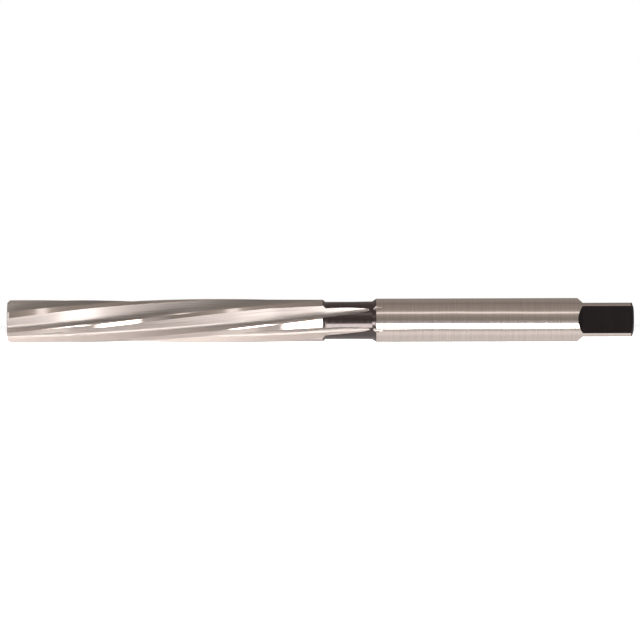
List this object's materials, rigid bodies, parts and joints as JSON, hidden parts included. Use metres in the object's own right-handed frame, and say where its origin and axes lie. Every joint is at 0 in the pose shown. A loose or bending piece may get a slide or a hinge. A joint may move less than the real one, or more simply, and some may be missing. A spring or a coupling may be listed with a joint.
{
  "type": "hand reamer",
  "caption": "Straight hand reamer with left-hand spiral flutes, a tapered lead, a short neck and a square driving end, turned by a wrench to size a drilled hole.",
  "frame": {"origin": "on the tool's axis, halfway along its length", "axes": "+X along the axis from the cutting end to the driving square; one flat of the square faces -Y and one faces +Z"},
  "size_m": [0.115, 0.008, 0.008],
  "materials": {
    "tool_steel": "ground bright on the teeth, flutes and shank; black from hardening on the neck, the flats of the square and the end"
  },
  "bodies": {
    "root": {"hand_reamer": "tool_steel"}
  },
  "joints": []
}
